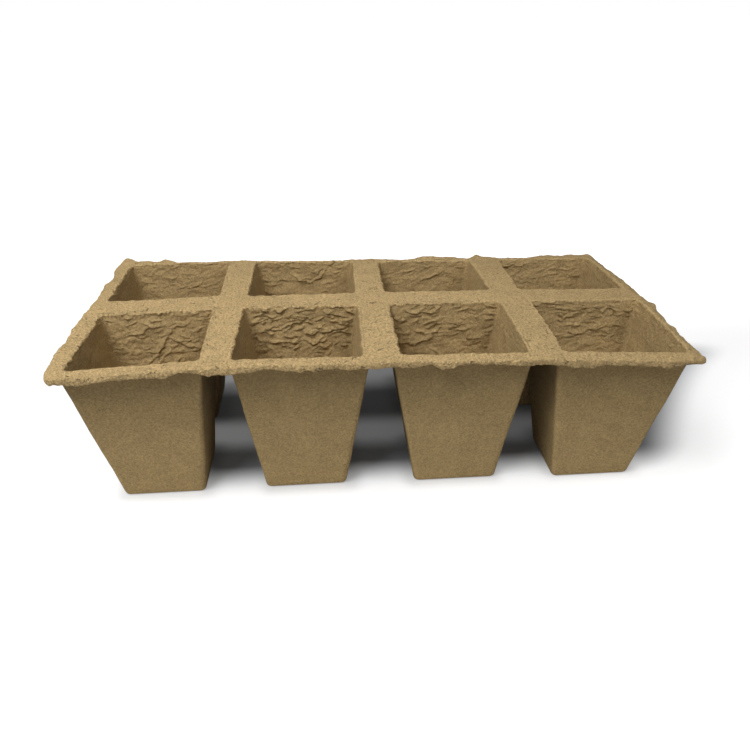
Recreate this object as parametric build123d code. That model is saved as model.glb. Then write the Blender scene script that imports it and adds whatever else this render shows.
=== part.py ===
from build123d import *
import os

# A strip of square plant pots, moulded in one go from peat and wood fibre pulp. Its deck has
# warped a little in drying, most of all at the front right corner.
# A gardener cuts or tears it into single pots along the middle of the webs that join them,
# so each pot is a solid of its own: a tapered cup with a drained floor, four walls and its
# share of the deck. Neighbouring pots meet face to face on the web lines.
#
# All lengths are in millimetres. +X runs along a row from left to right, +Y from the front
# row to the back row, and +Z up. The origin is on the ground, under the middle of the strip.

# The strip
row_names = ["front", "back"]
pots_in_row = 4
pot_pitch = 60.0
deck_height = 64.0
deck_thickness = 2.2
deck_warp = 6.0
web_gap = 9.6
end_lip = 4.3
side_lip = 3.3
strip_corner_radius = 3.0

# The cup of each pot
wall_thickness = 1.8
floor_thickness = 2.0
base_width = 31.4
outer_corner_radius = 3.0
inner_corner_radius = 2.0
drain_hole_diameter = 8.0

# Rounded edges
mouth_edge_radius = 1.0
root_radius = 1.5
rim_edge_radius = 0.8
foot_edge_radius = 1.6
floor_edge_radius = 1.5

# One overrun serves all cuts
cut_overrun = 1.0

# How the deck warped in drying: its lift at five places from the left end to the right end, as
# shares of the warp, along the front edge, the middle and the back edge
front_lift_shares = [-0.42, -0.10, -0.22, -0.50, -1.00]
middle_lift_shares = [-0.05, 0.12, 0.00, -0.13, -0.35]
back_lift_shares = [0.20, 0.10, -0.22, -0.43, -0.60]

# A face counts as level where the upright part of its normal is at least this share
level_share = 0.9

# What follows from these sizes
rows = len(row_names)
top_width = pot_pitch - web_gap
lean = (top_width - base_width) / deck_height
end_reach = top_width / 2 + end_lip
side_reach = top_width / 2 + side_lip
strip_length = (pots_in_row - 1) * pot_pitch + 2 * end_reach
strip_width = (rows - 1) * pot_pitch + 2 * side_reach


def column_x(column):
    """Where the pots of a column stand along the strip."""
    return (column - (pots_in_row - 1) / 2) * pot_pitch


def row_y(row):
    """Where the pots of a row stand across the strip."""
    return (row - (rows - 1) / 2) * pot_pitch


def outer_width(height):
    """Width of a cup's outside at a height above the ground."""
    return base_width + lean * height


def inner_width(height):
    """Width of a cup's hollow at a height above the ground."""
    return outer_width(height) - 2 * wall_thickness


def tapered_block(width_at, low, high, corner_radius):
    """A square block over the origin that widens upwards, its four leaning edges rounded."""
    wide = width_at(high)
    inset = (wide - width_at(low)) / 2
    wedge = Wedge(wide, high - low, wide, inset, inset, wide - inset, wide - inset)
    block = Pos(0, 0, (low + high) / 2) * Rot(X=-90) * wedge
    level_edges = [edge for face in block.faces().filter_by(Axis.Z) for edge in face.edges()]
    leaning_edges = [edge for edge in block.edges() if edge not in level_edges]
    return fillet(leaning_edges, corner_radius)


def make_cup_outside():
    """The cup as a full block, from the ground to well above the deck."""
    return tapered_block(outer_width, 0, deck_height + deck_warp, outer_corner_radius)


def make_cup_hollow():
    """The space in a cup, which runs out past the deck, with the drain hole under it."""
    top = deck_height + deck_warp + cut_overrun
    hollow = tapered_block(inner_width, floor_thickness, top, inner_corner_radius)
    floor = hollow.faces().sort_by(Axis.Z)[0]
    hollow = fillet(floor.edges(), floor_edge_radius)
    hole = Cylinder(drain_hole_diameter / 2, floor_thickness + 2 * cut_overrun)
    return hollow + Pos(0, 0, floor_thickness / 2) * hole


def warped_face(height):
    """A smooth face over the whole strip at a height above the ground, warped as the deck is."""
    reach_x, reach_y = [strip_length / 2 + cut_overrun, strip_width / 2 + cut_overrun]
    lines = zip([-1, 0, 1], [front_lift_shares, middle_lift_shares, back_lift_shares])
    points = []
    for y_share, lift_shares in lines:
        last = len(lift_shares) - 1
        x_shares = [2 * place / last - 1 for place in range(len(lift_shares))]
        lifts = [height + lift_share * deck_warp for lift_share in lift_shares]
        points.append([(x_share * reach_x, y_share * reach_y, z) for x_share, z in zip(x_shares, lifts)])
    return Face.make_surface_from_array_of_points(points)


def make_deck():
    """The deck of the whole strip as one warped plate, with its rounded corners and rim."""
    low = deck_height - deck_thickness - deck_warp - cut_overrun
    high = deck_height + deck_warp + cut_overrun
    outline = RectangleRounded(strip_length, strip_width, strip_corner_radius)
    column = extrude(Pos(0, 0, low) * outline, high - low)
    plate = extrude(warped_face(deck_height), deck_thickness, dir=(0, 0, -1)) & column
    rim_edges = [edge for face in level_faces(plate) for edge in face.edges()]
    return fillet(rim_edges, rim_edge_radius)


def make_sky():
    """The space over the middle of the deck's thickness, which the cups stop under."""
    reach = 2 * deck_warp + deck_thickness + cut_overrun
    return extrude(warped_face(deck_height - deck_thickness / 2), reach, dir=(0, 0, 1))


def make_cell(column, row):
    """The upright space of one pot, from web line to web line or past the strip's rim."""
    left, front = [column_x(column) - pot_pitch / 2, row_y(row) - pot_pitch / 2]
    right, back = [left + pot_pitch, front + pot_pitch]
    if column == 0:
        left = -strip_length / 2 - cut_overrun
    if column == pots_in_row - 1:
        right = strip_length / 2 + cut_overrun
    if row == 0:
        front = -strip_width / 2 - cut_overrun
    if row == rows - 1:
        back = strip_width / 2 + cut_overrun
    ground = Rectangle(right - left, back - front)
    height = deck_height + deck_warp + cut_overrun
    return extrude(Pos((left + right) / 2, (front + back) / 2, 0) * ground, height)


def level_faces(solid):
    """A solid's level faces from the lowest up: of a pot its foot, floor, deck underside and deck top."""
    level = [face for face in solid.faces() if abs(face.normal_at().Z) > level_share]
    return ShapeList(level).sort_by(Axis.Z)


def make_pot(column, row):
    """One pot in its place in the strip, with its edges rounded as the mould leaves them."""
    place = Pos(column_x(column), row_y(row), 0)
    pot = (place * cup_outside - sky) + (deck & make_cell(column, row)) - place * cup_hollow
    foot, floor, underside, top = level_faces(pot)
    pot = fillet(top.inner_wires()[0].edges(), mouth_edge_radius)
    foot, floor, underside, top = level_faces(pot)
    pot = fillet(underside.inner_wires()[0].edges(), root_radius)
    foot, floor, underside, top = level_faces(pot)
    return fillet(foot.outer_wire().edges(), foot_edge_radius)


cup_outside = make_cup_outside()
cup_hollow = make_cup_hollow()
deck = make_deck()
sky = make_sky()

os.makedirs("parts", exist_ok=True)
for row, row_name in enumerate(row_names):
    for column in range(pots_in_row):
        export_step(make_pot(column, row), f"parts/pot_{row_name}_{column + 1}.step")

print(f"strip {strip_length:.1f} x {strip_width:.1f} x {deck_height:.1f} mm")
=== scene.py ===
"""Dress a packed strip of plant pots as moulded pulp: crumpled cups under a deck with a ragged rim."""

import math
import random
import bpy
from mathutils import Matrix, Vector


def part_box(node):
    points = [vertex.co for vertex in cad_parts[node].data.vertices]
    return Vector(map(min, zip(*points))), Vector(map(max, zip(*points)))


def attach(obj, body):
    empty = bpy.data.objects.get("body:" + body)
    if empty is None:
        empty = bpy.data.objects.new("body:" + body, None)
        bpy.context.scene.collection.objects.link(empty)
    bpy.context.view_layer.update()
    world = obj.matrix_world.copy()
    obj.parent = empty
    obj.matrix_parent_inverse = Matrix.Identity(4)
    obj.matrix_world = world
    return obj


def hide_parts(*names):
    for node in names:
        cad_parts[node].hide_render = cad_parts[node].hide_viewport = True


bl_info = {
    "name": "Moulded pulp pot strip",
    "version": (1, 0, 0),
    "blender": (4, 5, 0),
    "location": "3D View > Sidebar > Pulp Pots",
    "description": "Models a strip of moulded fibre plant pots around its packed frame, with a stage",
    "category": "Object",
}

from collections import namedtuple
from types import SimpleNamespace

import bmesh
import bpy
from bpy.props import FloatProperty, FloatVectorProperty, IntProperty, PointerProperty
from mathutils import Matrix, Vector, noise

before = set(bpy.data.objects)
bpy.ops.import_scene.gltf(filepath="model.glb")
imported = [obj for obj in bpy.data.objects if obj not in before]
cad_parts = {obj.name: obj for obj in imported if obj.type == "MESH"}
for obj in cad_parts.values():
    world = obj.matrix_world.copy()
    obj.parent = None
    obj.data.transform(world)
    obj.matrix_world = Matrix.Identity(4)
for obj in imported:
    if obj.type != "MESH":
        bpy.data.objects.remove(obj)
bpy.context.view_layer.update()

MM = 0.001
ROWS = ("front", "back")
COLUMNS = 4

# The pitch is the width of a pot that has a neighbour on both sides. This one is highest at the
# middle of the strip, where the deck hasn't warped
inner_low, inner_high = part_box("pot_front_3")
PITCH = inner_high.x - inner_low.x
DECK_HEIGHT = inner_high.z
STRIP_HALF_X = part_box("pot_front_4")[1].x
STRIP_HALF_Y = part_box("pot_back_4")[1].y

# Half the width of a cup at the ground
FOOT_HALF = 15.7 * MM


class PulpSizes(bpy.types.PropertyGroup):
    """Sizes of a cup and its edges"""

    wall: FloatProperty(
        name="Wall", description="Thickness of a cup's walls", default=1.8 * MM, unit="LENGTH"
    )
    floor: FloatProperty(
        name="Floor", description="Thickness of a cup's floor", default=2.0 * MM, unit="LENGTH"
    )
    deck: FloatProperty(
        name="Deck", description="Thickness of the deck", default=2.2 * MM, unit="LENGTH"
    )
    foot_width: FloatProperty(
        name="Foot width", description="Outer width of a cup at the ground",
        default=2 * FOOT_HALF, unit="LENGTH",
    )
    top_width: FloatProperty(
        name="Top width", description="Outer width of a cup at the deck", default=50.4 * MM, unit="LENGTH"
    )
    outer_corner: FloatProperty(
        name="Outer corner", description="Radius of a cup's outer corners at the ground",
        default=2.4 * MM, unit="LENGTH",
    )
    upper_corner: FloatProperty(
        name="Upper corner", description="Radius of those corners under the deck",
        default=1.2 * MM, unit="LENGTH",
    )
    inner_corner: FloatProperty(
        name="Inner corner", description="Radius of a cup's inner corners", default=2.0 * MM, unit="LENGTH"
    )
    strip_corner: FloatProperty(
        name="Strip corner", description="Radius of the strip's four corners",
        default=3.0 * MM, unit="LENGTH",
    )
    mouth_edge: FloatProperty(
        name="Mouth edge", description="Radius of the edge round a mouth", default=0.9 * MM, unit="LENGTH"
    )
    root: FloatProperty(
        name="Root", description="Radius between a wall and the deck's underside",
        default=1.5 * MM, unit="LENGTH",
    )
    rim_edge: FloatProperty(
        name="Rim edge", description="Radius of the rim's edges", default=0.8 * MM, unit="LENGTH"
    )
    foot_edge: FloatProperty(
        name="Foot edge", description="Radius of the edge round a foot", default=1.6 * MM, unit="LENGTH"
    )
    floor_edge: FloatProperty(
        name="Floor edge", description="Radius between floor and walls", default=1.5 * MM, unit="LENGTH"
    )
    drain_hole: FloatProperty(
        name="Drain hole", description="Width of the hole in a floor", default=8.0 * MM, unit="LENGTH"
    )
    loop_cuts: IntProperty(
        name="Loop cuts", description="Faces along one side of a ring", default=88, min=8
    )
    inner_step: FloatProperty(
        name="Inner step", description="Spacing of the rings on the inner walls",
        default=0.4 * MM, unit="LENGTH",
    )
    outer_step: FloatProperty(
        name="Outer step", description="Spacing of the rings on the outer walls",
        default=1.4 * MM, unit="LENGTH",
    )


class PulpRelief(bpy.types.PropertyGroup):
    """How far the dried pulp strays from the mould"""

    fold: FloatProperty(
        name="Fold height", description="How far the lips of slumped pulp inside the cups stand out",
        default=1.25 * MM, unit="LENGTH",
    )
    ragged: FloatProperty(
        name="Ragged rim", description="How far the torn rim strays sideways",
        default=0.8 * MM, unit="LENGTH",
    )
    crust: FloatProperty(
        name="Crust", description="Height of the lumps on the deck", default=0.28 * MM, unit="LENGTH"
    )
    wobble: FloatProperty(
        name="Wobble", description="How far the walls stray from flat", default=0.45 * MM, unit="LENGTH"
    )
    rim_hang: FloatProperty(
        name="Rim hang", description="How far the rim's lower edge hangs down",
        default=0.7 * MM, unit="LENGTH",
    )
    rim_curl: FloatVectorProperty(
        name="Rim curl", description="How far the rim curls down at the left, right, front and back",
        default=(0.3 * MM, 1.3 * MM, 0.2 * MM, 0.6 * MM), size=4, unit="LENGTH",
    )
    front_lift: FloatVectorProperty(
        name="Front lift", description="Lift of the deck's front edge, at five places from left to right",
        default=(-2.5 * MM, -0.6 * MM, -1.3 * MM, -3.0 * MM, -6.1 * MM), size=5, unit="LENGTH",
    )
    middle_lift: FloatVectorProperty(
        name="Middle lift", description="Lift of the deck along its middle, at the same five places",
        default=(-0.3 * MM, 0.7 * MM, 0.0, -0.8 * MM, -2.1 * MM), size=5, unit="LENGTH",
    )
    back_lift: FloatVectorProperty(
        name="Back lift", description="Lift of the deck's back edge, at the same five places",
        default=(1.2 * MM, 0.6 * MM, -1.3 * MM, -2.6 * MM, -3.6 * MM), size=5, unit="LENGTH",
    )


class PulpColours(bpy.types.PropertyGroup):
    """Colours of the dried pulp"""

    crust: FloatVectorProperty(
        name="Crust", description="Colour of the loose, straw-coloured crust on the deck",
        default=(0.635, 0.45, 0.217), size=3, subtype="COLOR",
    )
    hollow: FloatVectorProperty(
        name="Hollow", description="Colour of the pulp inside the cups",
        default=(0.445, 0.316, 0.149), size=3, subtype="COLOR",
    )
    pressed: FloatVectorProperty(
        name="Pressed", description="Colour of the pulp that the mould pressed smooth",
        default=(0.42, 0.297, 0.138), size=3, subtype="COLOR",
    )


class StageSettings(bpy.types.PropertyGroup):
    """Camera and floor"""

    camera_place: FloatVectorProperty(
        name="Camera", description="Where the camera stands",
        default=(-0.01782, -0.2684, 0.16765), size=3, subtype="TRANSLATION",
    )
    camera_yaw: FloatProperty(
        name="Yaw", description="How far the camera turns to the left",
        default=math.radians(-3.87), subtype="ANGLE",
    )
    camera_pitch: FloatProperty(
        name="Pitch", description="How far the camera tilts up",
        default=math.radians(-33.27), subtype="ANGLE",
    )
    camera_roll: FloatProperty(
        name="Roll", description="How far the camera leans", default=math.radians(0.68), subtype="ANGLE"
    )
    focal_share: FloatProperty(
        name="Focal share", description="Focal length over the width of the picture", default=0.8737
    )
    lift: FloatProperty(
        name="Lift", description="How far the picture is cropped upwards, over its width", default=0.0867
    )
    floor_colour: FloatVectorProperty(
        name="Floor", description="Colour of the floor", default=(0.5, 0.5, 0.5), size=3, subtype="COLOR"
    )
    # Painted shadow: the floor under the strip takes this darker, bluish colour
    shade_colour: FloatVectorProperty(
        name="Shade colour", description="Colour of the floor under the strip",
        default=(0.25, 0.265, 0.29), size=3, subtype="COLOR",
    )
    shade_middle: FloatVectorProperty(
        name="Shade middle", description="Where the middle of the floor's shaded part lies",
        default=(0.027, 0.014), size=2, unit="LENGTH",
    )
    shade_half: FloatVectorProperty(
        name="Shade half", description="How far the floor's shaded part reaches each way",
        default=(0.105, 0.041), size=2, unit="LENGTH",
    )
    shade_fade: FloatVectorProperty(
        name="Shade fade", description="How far the shaded part takes to fade out, along and across",
        default=(0.03, 0.024), size=2, unit="LENGTH",
    )
    shade_spread: FloatProperty(
        name="Shade spread", description="How much the shaded part widens to the back, per metre",
        default=4.0,
    )


def mix(start, end, share):
    """The value that lies a share of the way from start to end."""
    return start + (end - start) * share


def fade(value, low, high):
    """A smooth step from 0 at low to 1 at high."""
    share = min(max((value - low) / (high - low), 0.0), 1.0)
    return share * share * (3 - 2 * share)


# One ring of the cup's section: the face that it lies on, the half width and corner radius of its
# square, its height, how far it has spread from the cup to the edge of the deck share, and how
# far the rim's rounding draws it in
Ring = namedtuple("Ring", "face half corner height spread inset", defaults=(0.0, 0.0))

# How many steps from ring to ring each face and each rounded edge of the section has
FLOOR_STEPS = 12
FLOOR_EDGE_STEPS = 5
MOUTH_EDGE_STEPS = 6
DECK_STEPS = 11
RIM_EDGE_STEPS = 3
UNDERSIDE_STEPS = 6
ROOT_STEPS = 4
FOOT_EDGE_STEPS = 4
FOOT_STEPS = 9
HOLE_STEPS = 3

# How much closer together the rings of an inner wall lie at its top than in its middle
CROWDING_SHARE = 0.35

# One pot: its centre, how far its deck share reaches to each side, and which sides are free
Pot = namedtuple("Pot", "name x y left right front back free_left free_right free_front free_back")


def pot_at(row, column):
    """Read one pot's place and reach from its node in the frame."""
    name = f"pot_{ROWS[row]}_{column + 1}"
    low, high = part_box(name)
    x = (column - (COLUMNS - 1) / 2) * PITCH
    y = (row - (len(ROWS) - 1) / 2) * PITCH
    return Pot(
        name, x, y, x - low.x, high.x - x, y - low.y, high.y - y,
        column == 0, column == COLUMNS - 1, row == 0, row == len(ROWS) - 1,
    )


def section_rings(sizes):
    """The rings of a cup's section: from the hole over the floor, up, over the deck, and down outside."""
    lean = (sizes.top_width - sizes.foot_width) / 2 / DECK_HEIGHT
    tilt = math.atan(lean)
    underside = DECK_HEIGHT - sizes.deck
    hole = sizes.drain_hole / 2

    def outer_half(height):
        return sizes.foot_width / 2 + lean * height

    def inner_half(height):
        return outer_half(height) - sizes.wall

    def bend(face, half_at, level, radius, side, corner, steps):
        """Rings where a level face turns into the wall. Side is 1 above the level, -1 below it."""
        middle = level + side * radius
        wall_half = half_at(middle - side * radius * math.sin(tilt))
        centre = wall_half - side * radius * math.cos(tilt)
        rings = []
        for step in range(steps + 1):
            angle = mix(math.pi / 2, tilt, step / steps)
            half = centre + side * radius * math.cos(angle)
            height = middle - side * radius * math.sin(angle)
            rings.append(Ring(face, half, corner + half - wall_half, height))
        return rings

    def wall(face, half_at, low, high, corner, step, crowding):
        """Rings up a wall, without its two ends. Crowding draws them together towards the top."""
        count = max(2, round((high - low) / step))
        shares = [share / count for share in range(1, count)]
        heights = [mix(low, high, share * (1 + crowding - crowding * share)) for share in shares]
        return [Ring(face, half_at(height), corner, height) for height in heights]

    def rim(start, level, side):
        """Rings round an edge of the rim, towards its upright face. Side is 1 above the level, -1 below."""
        rings = []
        for step in range(RIM_EDGE_STEPS + 1):
            angle = math.pi / 2 * step / RIM_EDGE_STEPS
            height = level + side * sizes.rim_edge * (1 - math.cos(angle))
            inset = sizes.rim_edge * (1 - math.sin(angle))
            rings.append(Ring("rim", start.half, start.corner, height, 1.0, inset))
        return rings

    inner, outer = sizes.inner_corner, sizes.outer_corner
    floor_bend = bend("inner", inner_half, sizes.floor, sizes.floor_edge, 1, inner, FLOOR_EDGE_STEPS)
    mouth_bend = bend("inner", inner_half, DECK_HEIGHT, sizes.mouth_edge, -1, inner, MOUTH_EDGE_STEPS)[::-1]
    root_bend = bend("outer", outer_half, underside, sizes.root, -1, sizes.upper_corner, ROOT_STEPS)
    foot_bend = bend("outer", outer_half, 0.0, sizes.foot_edge, 1, outer, FOOT_EDGE_STEPS)[::-1]

    rings = []
    start = floor_bend[0]
    for share in (step / FLOOR_STEPS for step in range(FLOOR_STEPS)):
        half, corner = mix(hole, start.half, share), mix(hole, start.corner, share)
        rings.append(Ring("floor", half, corner, sizes.floor))
    rings += floor_bend
    low, high = floor_bend[-1].height, mouth_bend[0].height
    rings += wall("inner", inner_half, low, high, inner, sizes.inner_step, CROWDING_SHARE)
    rings += mouth_bend
    start = mouth_bend[-1]
    for share in (step / DECK_STEPS for step in range(1, DECK_STEPS)):
        rings.append(Ring("deck", start.half, start.corner, DECK_HEIGHT, share, sizes.rim_edge))
    rings += rim(start, DECK_HEIGHT, -1)
    start = root_bend[0]
    rings += rim(start, underside, 1)[::-1]
    for share in (step / UNDERSIDE_STEPS for step in range(UNDERSIDE_STEPS - 1, 0, -1)):
        rings.append(Ring("under", start.half, start.corner, underside, share, sizes.rim_edge))
    rings += root_bend
    low, high = foot_bend[0].height, root_bend[-1].height
    for ring in wall("outer", outer_half, low, high, outer, sizes.outer_step, 0.0)[::-1]:
        rings.append(ring._replace(corner=mix(outer, sizes.upper_corner, ring.height / high)))
    rings += foot_bend
    end = foot_bend[-1]
    for share in (step / FOOT_STEPS for step in range(1, FOOT_STEPS + 1)):
        rings.append(Ring("foot", mix(end.half, hole, share), mix(end.corner, hole, share), 0.0))
    for share in (step / HOLE_STEPS for step in range(1, HOLE_STEPS)):
        rings.append(Ring("hole", hole, hole, mix(0.0, sizes.floor, share)))
    return rings


def ring_tube(count, cuts):
    """A closed tube of square rings, each vertex marked with its place on the unit square and its ring."""
    bm = bmesh.new()
    bmesh.ops.create_grid(bm, x_segments=cuts, y_segments=cuts, size=1.0)
    bmesh.ops.delete(bm, geom=[vert for vert in bm.verts if not vert.is_boundary], context="VERTS")
    seat = bm.verts.layers.float_vector.new("seat")
    for vert in bm.verts:
        vert[seat] = (vert.co.x, vert.co.y, 0.0)
    first_edges = list(bm.edges)
    edges = first_edges
    for number in range(1, count):
        grown = bmesh.ops.extrude_edge_only(bm, edges=edges)["geom"]
        for vert in (item for item in grown if isinstance(item, bmesh.types.BMVert)):
            vert[seat].z = number
            vert.co.z = number
        edges = [item for item in grown if isinstance(item, bmesh.types.BMEdge)]
    bmesh.ops.bridge_loops(bm, edges=first_edges + edges)
    bmesh.ops.recalc_face_normals(bm, faces=bm.faces)
    return bm


def seat_on_ring(u, v, ring, pot, strip_corner):
    """Where a place on the unit square lies on a ring of a pot, and which way is out from there."""
    reach_x, free_x = (pot.right, pot.free_right) if u > 0 else (pot.left, pot.free_left)
    reach_y, free_y = (pot.back, pot.free_back) if v > 0 else (pot.front, pot.free_front)
    half_x = mix(ring.half, reach_x - (ring.inset if free_x else 0.0), ring.spread)
    half_y = mix(ring.half, reach_y - (ring.inset if free_y else 0.0), ring.spread)
    edge_corner = max(strip_corner - ring.inset, 0.0) if free_x and free_y else 0.0
    radius = mix(ring.corner, edge_corner, ring.spread)
    x, y = u * half_x, v * half_y
    over_x, over_y = abs(x) - (half_x - radius), abs(y) - (half_y - radius)
    if radius > 0 and over_x > 0 and over_y > 0:
        way = math.hypot(over_x, over_y)
        out = Vector((math.copysign(over_x / way, x), math.copysign(over_y / way, y), 0.0))
        x = math.copysign(half_x - radius + radius * over_x / way, x)
        y = math.copysign(half_y - radius + radius * over_y / way, y)
    elif abs(u) >= abs(v):
        out = Vector((math.copysign(1.0, u), 0.0, 0.0))
    else:
        out = Vector((0.0, math.copysign(1.0, v), 0.0))
    return Vector((pot.x + x, pot.y + y, ring.height)), out


def run_through(heights, share):
    """The height of a smooth line through these heights, for a share from 0 to 1 of the way along."""
    last = len(heights) - 1
    place = min(max(share, 0.0), 1.0) * last
    number = min(int(place), last - 1)
    part = place - number
    before, start, end, after = (
        heights[min(max(number + step, 0), last)] for step in (-1, 0, 1, 2)
    )
    slope_in, slope_out = (end - before) / 2, (after - start) / 2
    return (
        start + slope_in * part
        + (3 * (end - start) - 2 * slope_in - slope_out) * part**2
        + (2 * (start - end) + slope_in + slope_out) * part**3
    )


def deck_lift(x, y, relief):
    """How far the deck has lifted or dropped in drying at a place."""
    share = (x / (2 * PITCH) + 1) / 2
    front, middle, back = (
        run_through(lifts, share) for lifts in (relief.front_lift, relief.middle_lift, relief.back_lift)
    )
    across = y / PITCH
    return middle + across * (back - front) / 2 + across**2 * ((back + front) / 2 - middle)


# How far the mouth of a pot lies off its place to the left, right and front, in millimetres: the
# left and right edges at their front and back ends, the front edge at its left and right ends
Mouth = namedtuple("Mouth", "left_front left_back right_front right_back front_left front_right")
MOUTHS = {
    "pot_front_1": Mouth(-0.6, 0.5, 0.2, -0.3, 0.2, 1.2),
    "pot_front_2": Mouth(-1.4, -0.9, -0.6, -0.3, 0.2, 0.0),
    "pot_front_3": Mouth(0.0, -0.4, 0.9, 0.8, 0.3, 0.0),
    "pot_front_4": Mouth(1.0, 0.8, 2.4, 1.4, 0.8, 0.6),
    "pot_back_1": Mouth(-0.3, -0.4, 0.6, -0.2, 1.4, 1.4),
    "pot_back_2": Mouth(-0.4, -0.4, -0.5, 0.2, 0.2, 1.0),
    "pot_back_3": Mouth(-0.8, -0.3, -0.6, -1.0, 1.2, 0.6),
    "pot_back_4": Mouth(-0.9, 0.8, 0.0, -0.2, 0.6, 0.0),
}

# How far the walls of a cup lie off their places, in millimetres: the left and right walls at the
# ground and at the deck, and the whole foot towards the back
Leg = namedtuple("Leg", "foot_left foot_right top_left top_right foot_back")
LEGS = {
    "pot_front_1": Leg(-1.3, 0.4, -1.1, -0.3, -0.5),
    "pot_front_2": Leg(-3.0, -0.8, -0.5, 0.5, 0.0),
    "pot_front_3": Leg(-0.6, 2.7, -1.3, 0.8, -1.0),
    "pot_front_4": Leg(-1.6, 0.0, 0.0, 1.6, -3.0),
    "pot_back_1": Leg(-1.0, -2.2, 0.0, 0.0, -2.0),
    "pot_back_2": Leg(0.0, 0.0, 0.0, 0.0, -2.0),
    "pot_back_3": Leg(0.0, 0.0, 0.0, 0.0, -3.0),
    "pot_back_4": Leg(0.0, 0.0, 0.0, 0.0, -3.0),
}


def mouth_shift(u, v, name):
    """How far the mouth's edge has strayed sideways at a place on the unit square."""
    mouth = MOUTHS[name]
    across, along = (u + 1) / 2, (v + 1) / 2
    left = mix(mouth.left_front, mouth.left_back, along)
    right = mix(mouth.right_front, mouth.right_back, along)
    front = mix(mouth.front_left, mouth.front_right, across)
    return Vector((mix(left, right, across), mix(front, 0.0, along), 0.0)) * MM


def leg_shift(u, ring, name):
    """How far a wall or foot has strayed at a place on the unit square."""
    leg = LEGS[name]
    across = (u * min(ring.half / FOOT_HALF, 1.0) + 1) / 2
    up = ring.height / DECK_HEIGHT
    left, right = mix(leg.foot_left, leg.top_left, up), mix(leg.foot_right, leg.top_right, up)
    return Vector((mix(left, right, across), leg.foot_back * (1 - up), 0.0)) * MM


# A wave of smooth noise: its height as a share, the sizes of its cells in millimetres, and a shift
# that keeps it apart from the other waves
Wave = namedtuple("Wave", "share x y z shift", defaults=(0.0,))
SLOW_STRAY = Wave(1.0, 4.0, 4.0, 4.0, 4.4)
FINE_STRAY = Wave(1.0, 1.2, 1.2, 1.2, 7.7)
CRUMBS = Wave(0.13, 0.9, 0.9, 0.7, 12.0)
DIMPLES = Wave(0.22, 2.1, 2.1, 1.5, 3.0)
SWELLS = Wave(0.35, 6.0, 6.0, 4.0, 9.7)
FINE_TEETH = Wave(1.0, 1.3, 1.3, 1.3, 2.0)
COARSE_TEETH = Wave(0.6, 4.5, 4.5, 3.0, 6.0)
LONG_WOBBLE = Wave(1.0, 26.0, 26.0, 30.0)
SHORT_WOBBLE = Wave(0.25, 7.0, 7.0, 5.0, 5.5)
DECK_LUMPS = Wave(1.0, 2.4, 2.4, 1.0, 31.0)
DECK_SWELLS = Wave(0.8, 9.0, 9.0, 1.0, 11.0)

# The deck's lumps are a wave with two finer ones on it: how fast these get lower, how much finer
# each is, and how many waves there are
LUMP_DECAY = 0.9
LUMP_RATIO = 2.1
LUMP_WAVES = 3


def in_cells(point, wave):
    """A point measured in a wave's cells."""
    return Vector((
        point.x / (wave.x * MM) + wave.shift, point.y / (wave.y * MM) + wave.shift,
        point.z / (wave.z * MM) - wave.shift,
    ))


def height_of(wave, point):
    """How high a wave is at a place."""
    return wave.share * noise.noise(in_cells(point, wave))


# A flap of wet pulp that slid down an inner wall: where the middle of its lip hangs, its half
# width, its drop, how far its lip slants, and how far it stands out as a share of the fold height
Flap = namedtuple("Flap", "along height reach drop slant rise")

# A belt of flaps on a wall: how many, from which height to which, their half widths and drops, the
# slant that they share and how far it varies, and their least and greatest rise
Belt = namedtuple(
    "Belt", "count low high reach_low reach_high drop_low drop_high slant slant_spread rise_low rise_high"
)

# How the pulp slumped in each column of the front row, at the front and back of the cup
TOP_BELT = Belt(90, 46, 63.5, 0.8, 3.4, 0.5, 1.4, 0.0, 0.35, 0.2, 0.5)
FRONT_BELTS = (
    (TOP_BELT._replace(count=60), Belt(56, 10, 50, 0.8, 2.8, 0.5, 1.3, 0.7, 0.5, 0.16, 0.48)),
    (
        TOP_BELT._replace(count=130, rise_low=0.3, rise_high=0.8),
        Belt(70, 8, 48, 0.6, 2.2, 0.5, 1.2, 0.2, 0.7, 0.2, 0.58),
    ),
    (
        TOP_BELT._replace(count=80, rise_low=0.25, rise_high=0.6),
        Belt(64, 12, 50, 0.8, 2.8, 0.5, 1.3, 0.1, 0.6, 0.16, 0.5),
    ),
    (
        TOP_BELT._replace(count=90, slant_spread=0.2),
        Belt(64, 16, 50, 0.8, 2.8, 0.5, 1.2, 0.0, 0.3, 0.14, 0.42),
    ),
)
BACK_BELTS = (
    Belt(20, 52, 63, 1.2, 4.5, 0.6, 1.4, 0.0, 0.3, 0.12, 0.4),
    Belt(20, 22, 50, 1.0, 4.0, 0.6, 1.6, 0.1, 0.5, 0.1, 0.28),
)
SIDE_BELTS = (
    Belt(10, 58, 63.5, 0.8, 2.5, 0.5, 1.2, 0.0, 0.4, 0.2, 0.5),
    Belt(6, 20, 54, 1.5, 4.0, 0.5, 1.0, 0.8, 0.4, 0.15, 0.35),
)

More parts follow.
